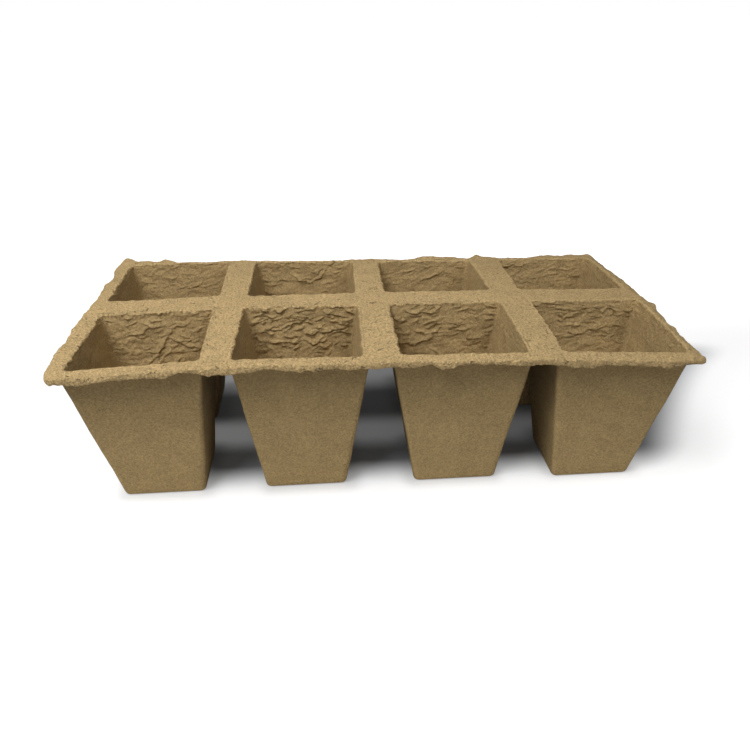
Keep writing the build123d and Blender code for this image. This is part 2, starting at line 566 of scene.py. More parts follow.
# The flaps that stand out most on the back walls, placed one by one, in millimetres
PLACED_FLAPS = {
    "pot_front_1": (
        Flap(-0.5, 48, 6.5, 2.6, 1.3, 0.8),
        Flap(2.0, 46, 4.5, 1.6, 1.1, 0.5),
        Flap(10, 50, 6.0, 1.8, -0.45, 0.7),
        Flap(5, 43, 3.0, 1.4, 0.5, 0.6),
        Flap(-9, 56, 5.5, 1.4, 0.3, 0.6),
        Flap(-3, 58, 5.0, 1.6, -0.3, 0.6),
        Flap(9, 57.5, 5.0, 1.2, 0.3, 0.5),
    ),
    "pot_front_2": (
        Flap(-3, 49.5, 2.4, 2.2, 0.5, 0.8),
        Flap(3.8, 48, 2.8, 3.0, 0.0, 0.8),
        Flap(10, 53, 6.5, 2.0, 0.1, 0.8),
        Flap(-16, 54, 2.6, 1.8, 0.4, 0.7),
        Flap(-2, 56.5, 4.5, 1.8, 0.4, 0.7),
        Flap(9, 41, 2.2, 2.0, 1.0, 0.6),
    ),
    "pot_front_3": (
        Flap(-12, 60.5, 5.0, 1.4, -0.1, 0.7),
        Flap(-4.5, 61.3, 3.5, 1.2, 0.3, 0.6),
        Flap(-9.5, 51, 3.0, 1.3, 0.0, 0.7),
        Flap(-8.5, 48.3, 2.8, 1.2, 0.1, 0.6),
        Flap(-3.5, 52, 2.8, 1.4, 0.6, 0.7),
        Flap(3.5, 53, 2.0, 1.0, 0.2, 0.5),
        Flap(-3, 41, 3.0, 1.8, -0.6, 0.6),
        Flap(1.5, 39, 2.6, 1.4, 0.3, 0.5),
    ),
    "pot_front_4": (
        Flap(-8, 59.5, 6.0, 1.2, -0.15, 0.5),
        Flap(-7, 57, 5.0, 1.2, -0.1, 0.5),
        Flap(-4, 49, 2.4, 1.6, -0.5, 0.5),
        Flap(0, 49, 2.2, 1.6, 0.5, 0.5),
        Flap(6.5, 51, 3.5, 1.2, 0.1, 0.5),
    ),
    "pot_back_2": (
        Flap(-3, 55, 5.0, 1.6, -0.55, 0.6),
        Flap(6, 56, 5.5, 1.6, 0.7, 0.6),
    ),
    "pot_back_3": (
        Flap(4, 56, 6.0, 1.6, 0.45, 0.7),
        Flap(-8, 59, 4.0, 1.2, 0.1, 0.5),
    ),
}

# Flaps are looked up by squares of the wall, this wide, with this much to spare
SQUARE = 4 * MM
SPARE = 1 * MM

# How far a flap's lip reaches below its line, and where over that line it is at its full height
LIP_BELOW = 0.35 * MM
LIP_ABOVE = 0.05 * MM

# How far the slow and the fine stray bend the flaps, along the wall and up it
STRAY_ALONG = (1.1 * MM, 0.4 * MM)
STRAY_UP = (1.5 * MM, 0.55 * MM)

# The noise that bends the flaps takes its start from the clock, unless it is given a seed
STRAY_SEED = 1796024831

# How much a flap shows that lies under another
UNDER_SHARE = 0.4

# How strong the folds are on the side walls, how far they sag, how far off the cup's corners the
# flaps hang, how the folds come in out of the rounded corners, and where over the ground they
# start and reach their full height
SIDE_SHARE = 0.55
SAG_SHARE = 0.3
CORNER_MARGIN = 5 * MM
FACING_WALL = (0.5, 1.0)
FOLD_FOOT = (2 * MM, 8 * MM)

# How far the mouth's edge is frayed, how much of that its left side and its other sides have, and
# how far down the fraying goes
FRAY = 0.5 * MM
FRAY_LEFT = 1.3
FRAY_ELSEWHERE = 0.7
FRAY_DEPTH = 3 * MM


def drawn_flap(belt, half_width, draw):
    """A flap at a random place in a belt."""
    return Flap(
        draw.uniform(-half_width, half_width),
        draw.uniform(belt.low, belt.high) * MM,
        draw.uniform(belt.reach_low, belt.reach_high) * MM,
        draw.uniform(belt.drop_low, belt.drop_high) * MM,
        belt.slant + draw.uniform(-belt.slant_spread, belt.slant_spread),
        draw.uniform(belt.rise_low, belt.rise_high),
    )


def by_squares(flaps):
    """Lists of flaps by the squares of the wall that they touch."""
    squares = {}
    for flap in flaps:
        rise = flap.drop + abs(flap.slant) * flap.reach + SPARE
        columns = [math.floor((flap.along + side * flap.reach) / SQUARE) for side in (-1, 1)]
        lines = [math.floor((flap.height + side * rise) / SQUARE) for side in (-1, 2)]
        for i in range(columns[0], columns[1] + 1):
            for j in range(lines[0], lines[1] + 1):
                squares.setdefault((i, j), []).append(flap)
    return squares


def wall_flaps(pot):
    """The flaps on the four inner walls of a pot, by the way out from each wall."""
    row, column = int(not pot.free_front), round(pot.x / PITCH + (COLUMNS - 1) / 2)
    half_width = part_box(pot.name)[1].x - pot.x - CORNER_MARGIN
    belts_here = BACK_BELTS if row else FRONT_BELTS[column]
    walls = {(0, 1): belts_here, (0, -1): belts_here, (-1, 0): SIDE_BELTS, (1, 0): SIDE_BELTS[:1]}
    first_seed = 10 * (COLUMNS * row + column)
    flaps = {}
    for number, (way, belts) in enumerate(walls.items()):
        draw = random.Random(first_seed + number)
        flaps[way] = [drawn_flap(belt, half_width, draw) for belt in belts for _ in range(belt.count)]
    for placed in PLACED_FLAPS.get(pot.name, ()):
        in_metres = {name: getattr(placed, name) * MM for name in ("along", "height", "reach", "drop")}
        flaps[0, 1].append(placed._replace(**in_metres))
    return {way: by_squares(wall) for way, wall in flaps.items()}


def flap_height(along, height, flap):
    """How far one flap stands out at a place on the wall: it swells downwards and ends in a sharp lip."""
    share = (along - flap.along) / flap.reach
    if abs(share) >= 1:
        return 0.0
    over_lip = height - flap.height - flap.slant * (along - flap.along) - 0.5 * flap.drop * share * share
    if over_lip >= flap.drop or over_lip < -LIP_BELOW:
        return 0.0
    swell = (1 - max(over_lip, 0.0) / flap.drop) ** 2
    return flap.rise * (1 - share * share) ** 0.5 * swell * fade(over_lip, -LIP_BELOW, LIP_ABOVE)


def fold_height(point, along, squares):
    """How far the pulp stands into a cup at a place on its inner wall, as a share of the fold height."""
    slow = noise.noise_vector(in_cells(point, SLOW_STRAY))
    fine = noise.noise_vector(in_cells(point, FINE_STRAY))
    across = along + STRAY_ALONG[0] * slow.x + STRAY_ALONG[1] * fine.x
    up = point.z + STRAY_UP[0] * slow.z + STRAY_UP[1] * fine.z
    here = squares.get((math.floor(across / SQUARE), math.floor(up / SQUARE)), ())
    heights = sorted((flap_height(across, up, flap) for flap in here), reverse=True) + [0.0, 0.0]
    ripples = sum(height_of(wave, point) for wave in (CRUMBS, DIMPLES, SWELLS))
    return heights[0] + UNDER_SHARE * heights[1] + ripples


def slump(point, start, out, pot, flaps, relief):
    """Move a place on an inner wall as the pulp slumped there, and fray the mouth's edge."""
    if abs(out.y) >= abs(out.x):
        way, along, facing = (0, round(out.y)), start.x - pot.x, out.y**2
    else:
        way, along, facing = (round(out.x), 0), start.y - pot.y, out.x**2
    strength = fade(facing, *FACING_WALL) * fade(start.z, *FOLD_FOOT) * relief.fold
    strength *= 1.0 if way[1] else SIDE_SHARE
    fold = fold_height(start, along, flaps[way]) * strength
    teeth = height_of(FINE_TEETH, start) + height_of(COARSE_TEETH, start)
    teeth *= FRAY_LEFT if way == (-1, 0) else FRAY_ELSEWHERE
    fray = FRAY * teeth * fade(start.z, DECK_HEIGHT - FRAY_DEPTH, DECK_HEIGHT)
    return point + out * (fray - fold) - Vector((0.0, 0.0, SAG_SHARE * max(fold, 0.0)))


def crust_height(point):
    """Lumps and pits of the loose crust on the deck, about -1 to 1."""
    flat = Vector((point.x, point.y, 0.0))
    lumps = noise.fractal(in_cells(flat, DECK_LUMPS), LUMP_DECAY, LUMP_RATIO, LUMP_WAVES)
    return lumps + height_of(DECK_SWELLS, flat)


# The lumps and dents of the rim by the side that they are on: the middle and half width of each
# along that side, and how far it stands out, stands up, and hangs down, all in millimetres
Lump = namedtuple("Lump", "middle width out up hang")
RIM_LUMPS = {
    "front": (
        Lump(-112, 8, 0.3, 0.0, 0.9),
        Lump(-79, 2, 0.4, 0.0, 0.7),
        Lump(-71, 5, -0.3, 0.2, -0.9),
        Lump(-61, 3.5, 0.7, 0.0, 0.6),
        Lump(-56, 2, 0.5, 0.0, 0.6),
        Lump(-48, 1.5, 0.2, 0.0, 0.4),
        Lump(-43, 4, -0.3, 0.2, -0.7),
        Lump(-30, 1.2, 0.4, 0.0, 0.7),
        Lump(-25, 1.5, 0.4, 0.0, 0.5),
        Lump(17, 3, -0.3, 0.0, -0.8),
        Lump(21, 1.5, 0.4, 0.0, 1.0),
        Lump(25, 1.5, 0.4, 0.0, 0.8),
        Lump(35, 9, -0.2, 0.0, -0.8),
        Lump(70, 2.5, 0.4, 0.0, 1.0),
        Lump(76, 3, 0.4, 0.0, 0.9),
        Lump(106, 4, 0.5, 0.0, 0.7),
        Lump(119, 5, 0.0, 0.0, -0.8),
        Lump(-119, 8, 0.0, 0.0, -1.0),
    ),
    "left": (
        Lump(63, 4, 1.4, 0.0, 0.4),
        Lump(49, 6, 1.4, 0.0, 0.4),
        Lump(24, 6, 0.8, 0.0, 0.2),
        Lump(7, 5, 0.6, 0.0, 0.2),
        Lump(-18, 7, 1.6, 0.0, 0.3),
        Lump(-38, 11, 2.2, 0.0, 0.3),
        Lump(-53, 6, 0.6, 0.0, -0.6),
        Lump(37, 4, -0.6, 0.0, 0.0),
        Lump(29, 3, 0.8, 0.0, 0.3),
        Lump(-5, 8, 1.6, 0.0, 0.5),
    ),
    "right": (
        Lump(44, 18, 0.8, -1.3, 0.0),
        Lump(-3, 4, 1.0, -0.2, 0.0),
        Lump(-10, 3.2, 1.8, 0.5, 0.2),
        Lump(-20, 6, 1.0, -0.3, 0.0),
        Lump(-31, 3, 1.6, -0.2, 0.0),
        Lump(-42, 7, 0.9, 0.0, 0.0),
        Lump(-58, 10, 2.0, 0.6, -0.8),
    ),
    "back": (
        Lump(-117, 3.5, 0.3, 2.2, 0.0),
        Lump(-110, 8, 0.0, 0.6, 0.0),
        Lump(-98, 3, 0.2, 1.3, 0.0),
        Lump(-79, 10, -0.2, -0.7, 0.0),
        Lump(-40, 14, -0.2, -1.0, 0.0),
        Lump(0, 10, 0.2, 0.5, 0.0),
        Lump(-22, 8, 0.0, -0.5, 0.0),
        Lump(34, 8, 0.3, 1.6, 0.0),
        Lump(45, 5, 0.0, 0.6, 0.0),
        Lump(57, 2.5, 0.3, 1.8, 0.0),
        Lump(63, 5, 0.0, 0.8, 0.0),
        Lump(92, 6, 0.0, 1.2, 0.0),
        Lump(105, 8, 0.0, 1.3, 0.0),
        Lump(116, 4, 0.0, 1.4, 0.0),
    ),
}

# How wide the torn band along the strip's edge is, and how far the rim's lower edge may be drawn up
RIM_BAND = 4.6 * MM
MOST_DRAWN_UP = 0.9 * MM

# How steady the rim is on its right side
STEADY_SHARE = 0.6

# The waves of noise along the torn rim: their height as a share, how long their cells are, and how
# tall, both in millimetres
TEARS = ((0.7, 11.0, math.inf), (0.5, 3.4, 3.0), (0.3, 1.3, 1.2))

# How far the rim waves up and down, and how much its lower edge hangs in long and short waves, each
# with the length of its cells in millimetres
RIM_WAVE = (0.35 * MM, 8.0)
LONG_HANG = (0.6, 5.0)
SHORT_HANG = (0.7, 1.5)
WAVE_FIELD = 3.0
HANG_FIELD = 8.0


def torn_rim(point, start, lower, relief):
    """Move a place near the strip's edge sideways, up or down, as the torn rim strays."""
    near_x = fade(abs(start.x), STRIP_HALF_X - RIM_BAND, STRIP_HALF_X)
    near_y = fade(abs(start.y), STRIP_HALF_Y - RIM_BAND, STRIP_HALF_Y)
    for axis, other, near in ((0, 1, near_x), (1, 0, near_y)):
        if not near:
            continue
        run, past = start[other], math.copysign(1.0, start[axis])
        side = ("left", "right", "front", "back")[2 * axis + (past > 0)]

        # Each edge has a part of the noise to itself
        field = 5.0 * past + 13.0 * axis

        def along_edge(length, depth):
            """Noise along this edge, in cells of a length in millimetres."""
            return noise.noise(Vector((run / (length * MM), field, depth)))

        stray = sum(share * along_edge(length, start.z / (height * MM)) for share, length, height in TEARS)
        stray *= STEADY_SHARE if side == "right" else 1.0
        out = relief.ragged * stray
        up = RIM_WAVE[0] * along_edge(RIM_WAVE[1], WAVE_FIELD) - relief.rim_curl[2 * axis + (past > 0)]
        hang = relief.rim_hang * (
            1.0 + LONG_HANG[0] * along_edge(LONG_HANG[1], HANG_FIELD)
            + SHORT_HANG[0] * along_edge(SHORT_HANG[1], HANG_FIELD)
        )
        for lump in RIM_LUMPS[side]:
            share = math.exp(-((run / MM - lump.middle) / lump.width) ** 2)
            out += lump.out * MM * share
            up += lump.up * MM * share
            hang += lump.hang * MM * share
        point[axis] += past * out * near
        point.z += up * near - (max(hang, -MOST_DRAWN_UP) * near if lower else 0.0)


# The rim's noise starts this far under the deck, its lower part this far, and the walls' wobble
# fades out between these two depths and comes in up to this height over the ground
RIM_DEPTH = 2 * MM
LOWER_DEPTH = 1.1 * MM
WOBBLE_DEPTHS = (5 * MM, 2 * MM)
WOBBLE_FOOT = 20 * MM

# How much of the deck's lumps its underside has
UNDERSIDE_SHARE = 0.3

# How much the crust thins, leaving the deck darker, towards the right end and towards the back, where that
# starts and ends, how much of it the front lip has, and how much crust stays
THIN_RIGHT_SHARE = 0.58
THIN_RIGHT = (5 * MM, 118 * MM)
THIN_BACK_SHARE = 0.32
THIN_BACK = (-5 * MM, 55 * MM)
LIP_SHARE = 0.6
LIP = (-56 * MM, -46 * MM)
LEAST_CRUST = 0.2
CRUST_DEPTH = 1.5 * MM


def crustiness(place, face):
    """How crusty the pulp is at a place."""
    if face not in ("inner", "deck", "rim", "under"):
        return 0.0
    behind_lip = mix(LIP_SHARE, 1.0, fade(place.y, *LIP))
    thinned = THIN_RIGHT_SHARE * behind_lip * fade(place.x, *THIN_RIGHT)
    thinned += THIN_BACK_SHARE * fade(place.y, *THIN_BACK)
    by_deck = fade(place.z, DECK_HEIGHT - CRUST_DEPTH, DECK_HEIGHT) if face == "inner" else 1.0
    return max(1 - thinned, LEAST_CRUST) * by_deck


def shape_point(u, v, ring, pot, flaps, strip_corner, relief):
    """The finished place of one vertex of a pot, and how crusty the pulp is there."""
    start, out = seat_on_ring(u, v, ring, pot, strip_corner)
    point = start.copy()
    if ring.face == "inner":
        by_mouth = fade(start.z, 0.5 * DECK_HEIGHT, DECK_HEIGHT)
        point = slump(point, start, out, pot, flaps, relief)
        point += mouth_shift(u, v, pot.name) * by_mouth
        point += leg_shift(u, ring, pot.name) * (1 - by_mouth)
    elif ring.face == "deck":
        point += mouth_shift(u, v, pot.name) * (1 - ring.spread)
    else:
        point += leg_shift(u, ring, pot.name) * (1 - ring.spread)
    if ring.face in ("inner", "outer"):
        wobble = height_of(LONG_WOBBLE, start) + height_of(SHORT_WOBBLE, start)
        wobble *= fade(start.z, 0.0, WOBBLE_FOOT)
        wobble *= 1 - fade(start.z, *(DECK_HEIGHT - depth for depth in WOBBLE_DEPTHS))
        point += out * relief.wobble * wobble
    if ring.face in ("deck", "rim", "under") or start.z > DECK_HEIGHT - RIM_DEPTH:
        lower = start.z < DECK_HEIGHT - LOWER_DEPTH
        torn_rim(point, start, lower, relief)
        point.z += relief.crust * crust_height(start) * (UNDERSIDE_SHARE if lower else 1.0)
    point.z += deck_lift(start.x, start.y, relief) * start.z / DECK_HEIGHT
    return point, crustiness(start, ring.face)


# Painted shade, darker pulp where shade falls in the cups and between them: how far from the deck it
# starts, how much of the back wall and of the right wall the back right corner takes in, how much the right
# walls at the right end get, and where it comes in beside a neighbour
PAINTED_SHADE_DEPTH = 12 * MM
CORNER_ON_BACK = (0.4, 1.0)
CORNER_ON_RIGHT = (0.85, 1.0)
RIGHT_WALL_SHARE = 0.4
BESIDE_NEIGHBOUR = (0.0, 0.12)


def painted_corner_shade(u, v, ring, pot):
    """How much painted shade a place gets: in a cup's back right corner, or on an outer wall beside a
    neighbour, where shade falls.
    """
    if ring.face == "inner":
        low_down = fade(DECK_HEIGHT - ring.height, 0.0, PAINTED_SHADE_DEPTH)
        if v >= abs(u):
            return fade(u, *CORNER_ON_BACK) * low_down
        if u > abs(v):
            at_right_end = RIGHT_WALL_SHARE * fade(pot.x, 0.5 * PITCH, 1.5 * PITCH)
            return max(fade(v, *CORNER_ON_RIGHT), at_right_end) * low_down
    if ring.face == "outer" and abs(u) > abs(v) and not (pot.free_right if u > 0 else pot.free_left):
        return fade(abs(u) - abs(v), *BESIDE_NEIGHBOUR)
    return 0.0


# A place on the unit square counts as on its edge from here
ON_EDGE = 0.999


def mark_cut_edges(bm, seat, rings, pot):
    """Keep the edges of the cut faces on the web lines sharp."""
    rim_rings = [number for number, ring in enumerate(rings) if ring.face == "rim"]
    first, last = rim_rings[0], rim_rings[-1]

    def on_web(place):
        u, v = place.x, place.y
        return (
            (u > ON_EDGE and not pot.free_right) or (u < -ON_EDGE and not pot.free_left)
            or (v > ON_EDGE and not pot.free_back) or (v < -ON_EDGE and not pot.free_front)
        )

    for edge in bm.edges:
        a, b = (vert[seat] for vert in edge.verts)
        low, high = sorted((round(a.z), round(b.z)))
        along = low == high and low in (first, last)
        at_corner = min(abs(a.x), abs(a.y)) > ON_EDGE and first <= low and high <= last
        if (along and on_web((a + b) / 2)) or (at_corner and high - low == 1 and on_web(a)):
            edge.smooth = False


def plain(settings):
    """The values of a property group as plain numbers, which are quicker to read."""
    values = {name: getattr(settings, name) for name in settings.__annotations__}
    return SimpleNamespace(**{
        name: value if isinstance(value, (int, float)) else tuple(value) for name, value in values.items()
    })


def make_pot(template, rings, pot, material):
    """Shape one pot out of the tube of rings, and let it stand for its node."""
    relief = plain(bpy.context.scene.pulp_relief)
    strip_corner = bpy.context.scene.pulp_sizes.strip_corner
    flaps = wall_flaps(pot)
    bm = template.copy()
    seat = bm.verts.layers.float_vector["seat"]
    crust_layer = bm.verts.layers.float.new("crust")
    hollow_layer = bm.verts.layers.float.new("hollow")
    painted_shade_layer = bm.verts.layers.float.new("damp")
    for vert in bm.verts:
        u, v, number = vert[seat]
        ring = rings[round(number)]
        vert.co, vert[crust_layer] = shape_point(u, v, ring, pot, flaps, strip_corner, relief)
        vert[hollow_layer] = 1.0 if ring.face in ("inner", "floor") else 0.0
        # Painted shade in the cups' corners and on the outer walls beside a neighbour
        vert[painted_shade_layer] = painted_corner_shade(u, v, ring, pot)
    mark_cut_edges(bm, seat, rings, pot)
    for face in bm.faces:
        face.smooth = True
    bm.verts.layers.float_vector.remove(bm.verts.layers.float_vector["seat"])
    mesh = bpy.data.meshes.new(f"moulded_{pot.name}")
    bm.to_mesh(mesh)
    bm.free()
    piece = bpy.data.objects.new(mesh.name, mesh)
    bpy.context.scene.collection.objects.link(piece)
    mesh.materials.append(material)
    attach(piece, "root")
    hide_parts(pot.name)
    return piece


# The nodes of a tree stand in rows, in the order in which they are made
NODE_SPACING = (220, 320)
NODES_IN_ROW = 8


def add_node(tree, kind, settings=None, **inputs):
    """Add a node to a tree, set its properties, and set or link its inputs by name or as _0, _1, _2."""
    node = tree.nodes.new(kind)
    row, column = divmod(len(tree.nodes), NODES_IN_ROW)
    node.location = (column * NODE_SPACING[0], -row * NODE_SPACING[1])
    for name, value in (settings or {}).items():
        setattr(node, name, value)
    for name, value in inputs.items():
        socket = node.inputs[int(name[1:])] if name[0] == "_" else node.inputs[name.replace("_", " ")]
        if isinstance(value, bpy.types.NodeSocket):
            tree.links.new(value, socket)
        else:
            socket.default_value = value
    return node


def calculate(tree, operation, *values):
    """The outcome of an operation on numbers."""
    inputs = {f"_{number}": value for number, value in enumerate(values)}
    return add_node(tree, "ShaderNodeMath", {"operation": operation}, **inputs).outputs[0]


def total(tree, value, *others):
    """The sum of two or more numbers."""
    for other in others:
        value = calculate(tree, "ADD", value, other)
    return value


def product(tree, value, *others):
    """The product of two or more numbers."""
    for other in others:
        value = calculate(tree, "MULTIPLY", value, other)
    return value


def combine(tree, operation, *vectors, output="Vector", **inputs):
    """The outcome of an operation on vectors."""
    inputs.update({f"_{number}": vector for number, vector in enumerate(vectors)})
    return add_node(tree, "ShaderNodeVectorMath", {"operation": operation}, **inputs).outputs[output]


def spread(tree, value, low, high, to_low, to_high, curve="LINEAR", clamp=True):
    """A number that lies from low to high, moved to another range."""
    return add_node(
        tree, "ShaderNodeMapRange", {"interpolation_type": curve, "clamp": clamp}, Value=value,
        From_Min=low, From_Max=high, To_Min=to_low, To_Max=to_high,
    ).outputs["Result"]


def speckle(tree, position, scale, detail, roughness):
    """A noise over positions, 0.5 on average."""
    return add_node(
        tree, "ShaderNodeTexNoise", Vector=position, Scale=scale, Detail=detail, Roughness=roughness
    ).outputs["Fac"]


def blended(tree, share, start, end):
    """The colour that lies a share of the way from start to end."""
    start, end = (
        colour if isinstance(colour, bpy.types.NodeSocket) else (*colour, 1.0) for colour in (start, end)
    )
    return add_node(tree, "ShaderNodeMix", {"data_type": "RGBA"}, _0=share, _6=start, _7=end).outputs[2]


def layer_value(tree, name):
    """What one of the pots' vertex layers says."""
    return add_node(tree, "ShaderNodeAttribute", {"attribute_name": name}).outputs["Fac"]


def grain_group():
    """Shader group: the grain of dried pulp, as a height and as a tone that is 1 on average."""
    name = "Pulp grain"
    if name in bpy.data.node_groups:
        return bpy.data.node_groups[name]
    tree = bpy.data.node_groups.new(name, "ShaderNodeTree")
    tree.interface.new_socket("Crust", in_out="INPUT", socket_type="NodeSocketFloat")
    tree.interface.new_socket("Hollow", in_out="INPUT", socket_type="NodeSocketFloat")
    tree.interface.new_socket("Height", in_out="OUTPUT", socket_type="NodeSocketFloat")
    tree.interface.new_socket("Tone", in_out="OUTPUT", socket_type="NodeSocketFloat")
    start = add_node(tree, "NodeGroupInput")
    crust, hollow = start.outputs["Crust"], start.outputs["Hollow"]
    place = add_node(tree, "ShaderNodeTexCoord").outputs["Object"]
    position = combine(tree, "SCALE", place, Scale=1 / MM)
    fine = speckle(tree, position, 1.25, 4.0, 0.72)
    cloud = speckle(tree, position, 0.13, 5.0, 0.6)
    felt = speckle(tree, position, 1.9, 3.0, 0.6)
    specks = speckle(tree, position, 1.5, 2.0, 0.5)
    crumbs = add_node(
        tree, "ShaderNodeTexVoronoi", {"feature": "SMOOTH_F1"}, Vector=position, Scale=0.9, Smoothness=0.4
    ).outputs["Distance"]

    # Short cracks lie on the crust, where a slow noise crosses its middle value inside a patch
    crack_line = speckle(tree, position, 0.22, 1.5, 0.5)
    crack_patch = speckle(tree, position, 0.30, 2.0, 0.5)
    off_line = calculate(tree, "ABSOLUTE", calculate(tree, "SUBTRACT", crack_line, 0.5))
    line = spread(tree, off_line, 0.0, 0.02, 1.0, 0.0)
    patch = spread(tree, crack_patch, 0.58, 0.62, 0.0, 1.0)
    crack = product(tree, line, patch, crust)

    streaks = product(tree, felt, spread(tree, hollow, 0.0, 1.0, 0.7, 0.0))
    bumps = total(tree, fine, streaks, product(tree, crumbs, -1.0, crust))
    strength = total(tree, spread(tree, hollow, 0.0, 1.0, 0.6, 1.0), crust)
    height = calculate(tree, "SUBTRACT", product(tree, bumps, strength), product(tree, crack, 1.5))

    depth = spread(tree, crust, 0.0, 1.0, 1.0, 1.2)
    fleck = product(tree, spread(tree, fine, 0.5, 0.7, 0.0, 0.34, clamp=False), depth)
    speck = product(tree, spread(tree, specks, 0.66, 0.72, 0.0, 0.22), depth)
    outside = spread(tree, hollow, 0.0, 1.0, 1.0, 0.0)
    streak = product(tree, spread(tree, felt, 0.5, 0.7, 0.0, 0.08, clamp=False), outside)
    drift = spread(tree, cloud, 0.3, 0.7, 0.92, 1.08)
    dark = total(tree, product(tree, crack, 0.5), speck)
    tone = calculate(tree, "SUBTRACT", total(tree, fleck, drift, streak), dark)
    add_node(tree, "NodeGroupOutput", Height=height, Tone=tone)
    return tree


def pulp_material():
    """Dried peat and wood fibre pulp: matt and grainy, with a paler crust on the deck."""
    name = "Dried pulp"
    if name in bpy.data.materials:
        return bpy.data.materials[name]
    colours = bpy.context.scene.pulp_colours
    material = bpy.data.materials.new(name)
    material.use_nodes = True
    tree = material.node_tree
    shader = tree.nodes["Principled BSDF"]
    # The third layer holds the painted shade of the cups' corners and of the walls beside a neighbour
    crust, hollow, damp = (layer_value(tree, layer) for layer in ("crust", "hollow", "damp"))
    grain = add_node(tree, "ShaderNodeGroup", {"node_tree": grain_group()}, Crust=crust, Hollow=hollow)
    walls = blended(tree, hollow, colours.pressed, colours.hollow)
    ground = blended(tree, crust, walls, colours.crust)

    # Painted light and shade: painted bounce light from the floor makes the pulp paler towards the ground,
    # painted shade makes the outer walls darker under the rim, and the painted shade layer darkens the
    # cups' corners and the walls beside a neighbour
    place = add_node(tree, "ShaderNodeTexCoord").outputs["Object"]
    height = add_node(tree, "ShaderNodeSeparateXYZ", Vector=place).outputs["Z"]
    painted_bounce_light = spread(tree, height, 0.0, 0.8 * DECK_HEIGHT, 1.24, 1.0)
    painted_rim_shade = spread(tree, height, 0.45 * DECK_HEIGHT, 0.95 * DECK_HEIGHT, 0.0, 0.2)
    bare = calculate(tree, "SUBTRACT", 1.0, calculate(tree, "MAXIMUM", crust, hollow))
    level = calculate(tree, "SUBTRACT", painted_bounce_light, product(tree, painted_rim_shade, bare))
    # This level holds all the painted light and shade that scales the colour
    dried = calculate(tree, "MULTIPLY_ADD", damp, -0.24, level)
    toned = combine(tree, "SCALE", ground, Scale=product(tree, grain.outputs["Tone"], dried))
    bump = add_node(
        tree, "ShaderNodeBump", Height=grain.outputs["Height"], Strength=1.0, Distance=0.45 * MM
    )
    tree.links.new(toned, shader.inputs["Base Color"])
    tree.links.new(bump.outputs["Normal"], shader.inputs["Normal"])
    shader.inputs["Roughness"].default_value = 0.95
    shader.inputs["Specular IOR Level"].default_value = 0.15
    return material


def seen_straight(tree):
    """1 where the camera sees a surface straight on, in a gloss or through glass, else 0."""
    path = add_node(tree, "ShaderNodeLightPath")
    straight = calculate(tree, "MAXIMUM", path.outputs["Is Camera Ray"], path.outputs["Is Glossy Ray"])
    return calculate(tree, "MAXIMUM", straight, path.outputs["Is Transmission Ray"])


def from_shade(tree, side, stage):
    """How far a place lies outside the floor's shaded part, as a share of the way that it fades over."""
    x, y = side.outputs["X"], side.outputs["Y"]
    straightened = product(tree, x, calculate(tree, "MULTIPLY_ADD", y, -stage.shade_spread, 1.0))
    upright = add_node(tree, "ShaderNodeCombineXYZ", X=straightened, Y=y).outputs["Vector"]
    offset = combine(tree, "ABSOLUTE", combine(tree, "SUBTRACT", upright, (*stage.shade_middle, 0.0)))
    past = combine(tree, "SUBTRACT", offset, (*stage.shade_half, 0.0))
    past = combine(tree, "MAXIMUM", past, (0.0, 0.0, 0.0))
    return combine(tree, "LENGTH", combine(tree, "DIVIDE", past, (*stage.shade_fade, 1.0)), output="Value")


def lane_haze(tree, side):
    """The faint light on the floor between the rows and behind them, brighter to the left."""
    x, y = side.outputs["X"], side.outputs["Y"]
    along_rows = spread(tree, x, -STRIP_HALF_X, STRIP_HALF_X, 0.155, 0.04)
    lane = calculate(tree, "MULTIPLY_ADD", x, 0.04, y)
    off_lane = calculate(tree, "ABSOLUTE", calculate(tree, "ADD", lane, 5 * MM))
    between_rows = spread(tree, off_lane, 3 * MM, 18 * MM, 1.0, 0.15, "SMOOTHSTEP")
    behind_rows = spread(tree, y, 28 * MM, 54 * MM, 0.0, 1.4, "SMOOTHSTEP")
    return product(tree, along_rows, calculate(tree, "MAXIMUM", between_rows, behind_rows))


def from_foot(tree, place):
    """How far a place on the floor lies from the foot of the nearest pot."""
    last_x, last_y = (COLUMNS - 1) / 2 * PITCH, (len(ROWS) - 1) / 2 * PITCH
    cell = combine(tree, "SNAP", place, (PITCH, PITCH, 1.0))
    middle = combine(tree, "ADD", cell, (PITCH / 2, PITCH / 2, 0.0))
    middle = combine(tree, "MAXIMUM", middle, (-last_x, -last_y, 0.0))
    middle = combine(tree, "MINIMUM", middle, (last_x, last_y, 0.0))
    offset = combine(tree, "ABSOLUTE", combine(tree, "SUBTRACT", place, middle))
    past = combine(tree, "SUBTRACT", offset, (FOOT_HALF, FOOT_HALF, 0.0))
    return combine(tree, "LENGTH", combine(tree, "MAXIMUM", past, (0.0, 0.0, 0.0)), output="Value")


